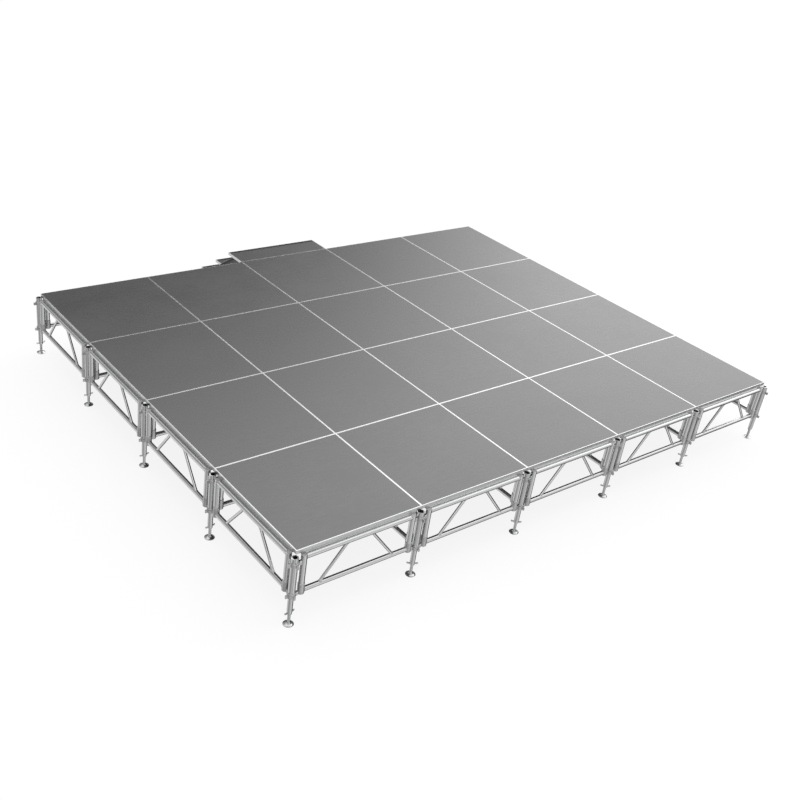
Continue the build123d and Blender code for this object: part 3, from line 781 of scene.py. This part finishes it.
def compass(nodes, links, turn, stops):
    """Light levels round the compass. stops are degrees clockwise from +Y, and a level."""
    curve = nodes.new("ShaderNodeValToRGB")
    links.new(turn, curve.inputs["Fac"])
    ramp = curve.color_ramp
    ramp.interpolation = "EASE"
    while len(ramp.elements) < len(stops):
        ramp.elements.new(0.5)
    for element, (degrees, level) in zip(ramp.elements, stops):
        element.position = (degrees + 180) / 360
        element.color = (level, level, level, 1)
    return curve.outputs["Color"]


SOFTBOX_LEVEL = 2.2
OVERHEAD_LEVEL = 1.2
DARK_CARD = (0.361, 0.923, 0.13)    # direction of the black card's middle
KEY_PLACE = (-7.5, -8.5, 6.5)
KEY_TARGET = (0, -1.0, 0.4)
KEY_SIZE = (7.0, 4.0)
KEY_ENERGY = 90.0
SOFTBOX_ROUND = [
    (-180, 0.22), (-130, 0.24), (-70, 0.24), (-20, 0.16), (5, 0.35), (25, 1.0), (92, 1.0),
    (120, 0.55), (150, 0.30), (180, 0.22),
]
LOW_ROUND = [
    (-180, 0.70), (-138, 0.60), (-100, 0.35), (-62, 0.60), (-37, 0.90), (-18, 0.90), (5, 0.25),
    (42, 0.06), (80, 0.06), (100, 0.05), (118, 0.09), (126, 0.26), (133, 0.70), (145, 0.93), (162, 0.92),
    (180, 0.70),
]


def studio():
    """Soft light all round: a softbox behind on the right, a black card behind, dimmer light from below."""
    world = bpy.data.worlds.new("studio")
    bpy.context.scene.world = world
    world.use_nodes = True
    nodes, links = world.node_tree.nodes, world.node_tree.links
    direction = nodes.new("ShaderNodeTexCoord").outputs["Generated"]
    split = nodes.new("ShaderNodeSeparateXYZ")
    links.new(direction, split.inputs["Vector"])
    up = split.outputs["Z"]

    def wire(operation, first, second=None):
        node = nodes.new("ShaderNodeMath")
        node.operation = operation
        for socket, value in zip(node.inputs, (first, second)):
            if isinstance(value, (int, float)):
                socket.default_value = value
            elif value is not None:
                links.new(value, socket)
        return node.outputs["Value"]

    def mix(low, high, share):
        return wire("ADD", low, wire("MULTIPLY", wire("SUBTRACT", high, low), share))

    heading = wire("ARCTAN2", split.outputs["X"], split.outputs["Y"])
    turn = wire("ADD", wire("DIVIDE", heading, 2 * math.pi), 0.5)
    facing_card = nodes.new("ShaderNodeVectorMath")
    facing_card.operation = "DOT_PRODUCT"
    links.new(direction, facing_card.inputs[0])
    facing_card.inputs[1].default_value = DARK_CARD
    card = smooth_step(nodes, links, facing_card.outputs["Value"], 0.835, 0.98)
    softbox = wire("MULTIPLY", compass(nodes, links, turn, SOFTBOX_ROUND), SOFTBOX_LEVEL)
    softbox = wire("MULTIPLY", softbox, wire("SUBTRACT", 1.0, card))
    above = mix(softbox, OVERHEAD_LEVEL, smooth_step(nodes, links, up, 0.62, 0.92))
    below = compass(nodes, links, turn, LOW_ROUND)
    level = mix(below, above, smooth_step(nodes, links, up, -0.05, 0.15))
    links.new(level, nodes["Background"].inputs["Strength"])
    nodes["Background"].inputs["Color"].default_value = (1, 1, 1, 1)

    lamp = bpy.data.lights.new("key_softbox", "AREA")
    lamp.shape = "RECTANGLE"
    lamp.size, lamp.size_y = KEY_SIZE
    lamp.energy = KEY_ENERGY
    key = bpy.data.objects.new("key_softbox", lamp)
    key.location = KEY_PLACE
    key.rotation_mode = "QUATERNION"
    key.rotation_quaternion = (Vector(KEY_TARGET) - key.location).to_track_quat("-Z", "Y")
    bpy.context.scene.collection.objects.link(key)


def camera():
    """The view from the front left, slightly rolled."""
    centre = (cad_low + cad_high) / 2
    aim = Vector((centre.x + AIM_OFFSET[0], centre.y + AIM_OFFSET[1], DECK_TOP))
    back = Vector((
        math.sin(VIEW_AZIMUTH) * math.cos(VIEW_ELEVATION),
        -math.cos(VIEW_AZIMUTH) * math.cos(VIEW_ELEVATION),
        math.sin(VIEW_ELEVATION),
    ))
    right = (-back).cross(Vector((0, 0, 1))).normalized()
    up = right.cross(-back)
    rolled_right = right * math.cos(VIEW_ROLL) + up * math.sin(VIEW_ROLL)
    rolled_up = up * math.cos(VIEW_ROLL) - right * math.sin(VIEW_ROLL)
    data = bpy.data.cameras.new("camera")
    data.lens = LENS
    data.sensor_width = SENSOR
    data.shift_x = VIEW_SHIFT_X
    data.clip_end = 800.0
    obj = bpy.data.objects.new("camera", data)
    turn = Matrix((rolled_right, rolled_up, back)).transposed().to_4x4()
    obj.matrix_world = Matrix.Translation(aim + back * VIEW_DISTANCE) @ turn
    bpy.context.scene.collection.objects.link(obj)
    bpy.context.scene.camera = obj


floor()
studio()
camera()
bpy.context.scene.view_settings.view_transform = "Standard"
